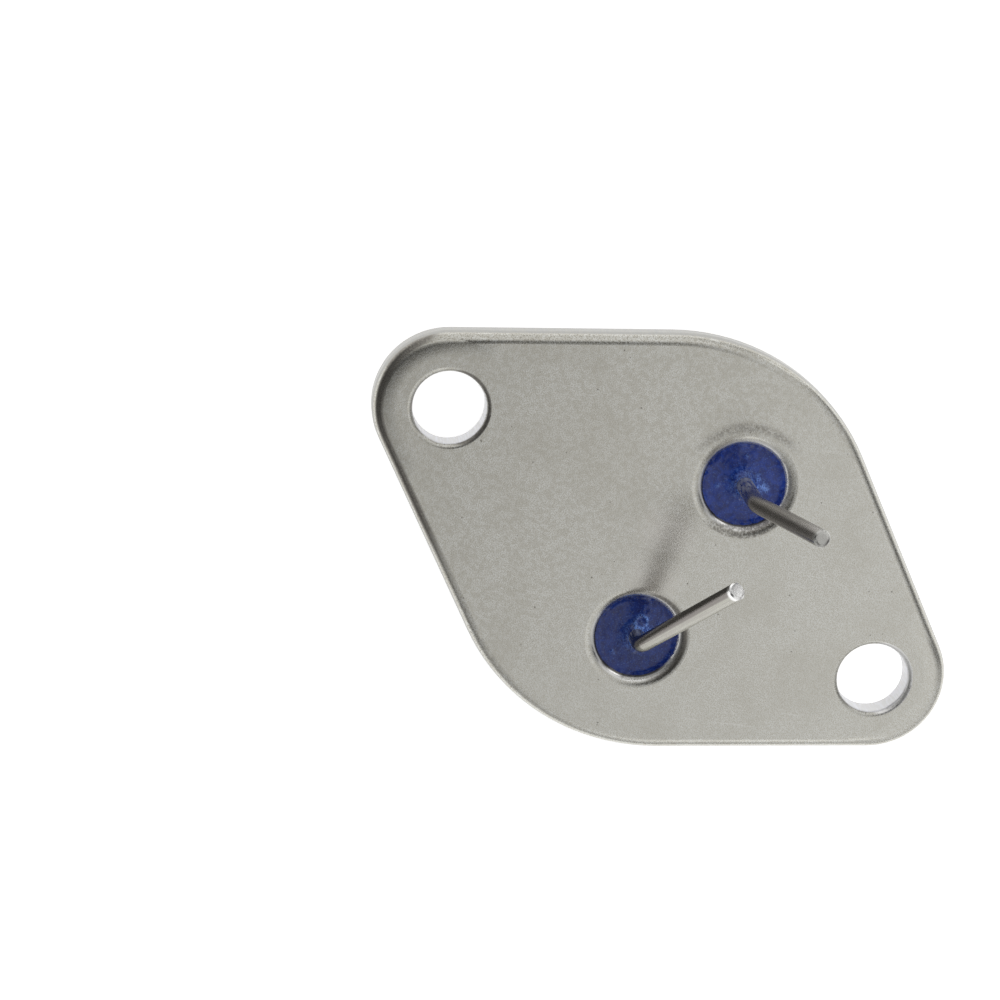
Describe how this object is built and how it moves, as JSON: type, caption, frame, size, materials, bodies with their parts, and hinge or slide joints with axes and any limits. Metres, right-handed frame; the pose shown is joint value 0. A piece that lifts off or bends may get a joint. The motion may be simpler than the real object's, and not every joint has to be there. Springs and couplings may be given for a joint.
{
  "type": "power transistor",
  "caption": "Metal-can power transistor: a diamond-shaped plate with fixing holes at its ends, a welded round cap below, and bent pins standing in blue glass seals.",
  "frame": {"origin": "on the seating face, the plate's flat side that the pins stand out of, midway between the fixing holes", "axes": "+X along the plate towards the fixing hole nearer the pins, +Z out of the seating face along the shanks of the pins, +Y completing the right hand, on the base pin's side"},
  "size_m": [0.039, 0.025, 0.02],
  "materials": {
    "plate": "satin nickel-plated steel with a fine grain and faint stains",
    "cap": "smooth satin nickel-plated drawn steel",
    "seal_glass": "opaque deep blue fired glass, speckled",
    "pin": "dull plated nickel-iron wire",
    "copper": "bare copper",
    "braze": "silver braze alloy",
    "silicon": "polished dark grey silicon",
    "solder": "dull soft solder",
    "bond_wire": "bright drawn aluminium wire"
  },
  "bodies": {
    "root": {"header_plate": "plate", "cap": "cap", "base_seal": "seal_glass", "emitter_seal": "seal_glass", "base_pin": "pin", "emitter_pin": "pin", "heat_spreader": "copper", "spreader_braze": "braze", "silicon_die": "silicon", "die_solder": "solder", "base_bond_wire": "bond_wire", "emitter_bond_wires": "bond_wire"}
  },
  "joints": []
}
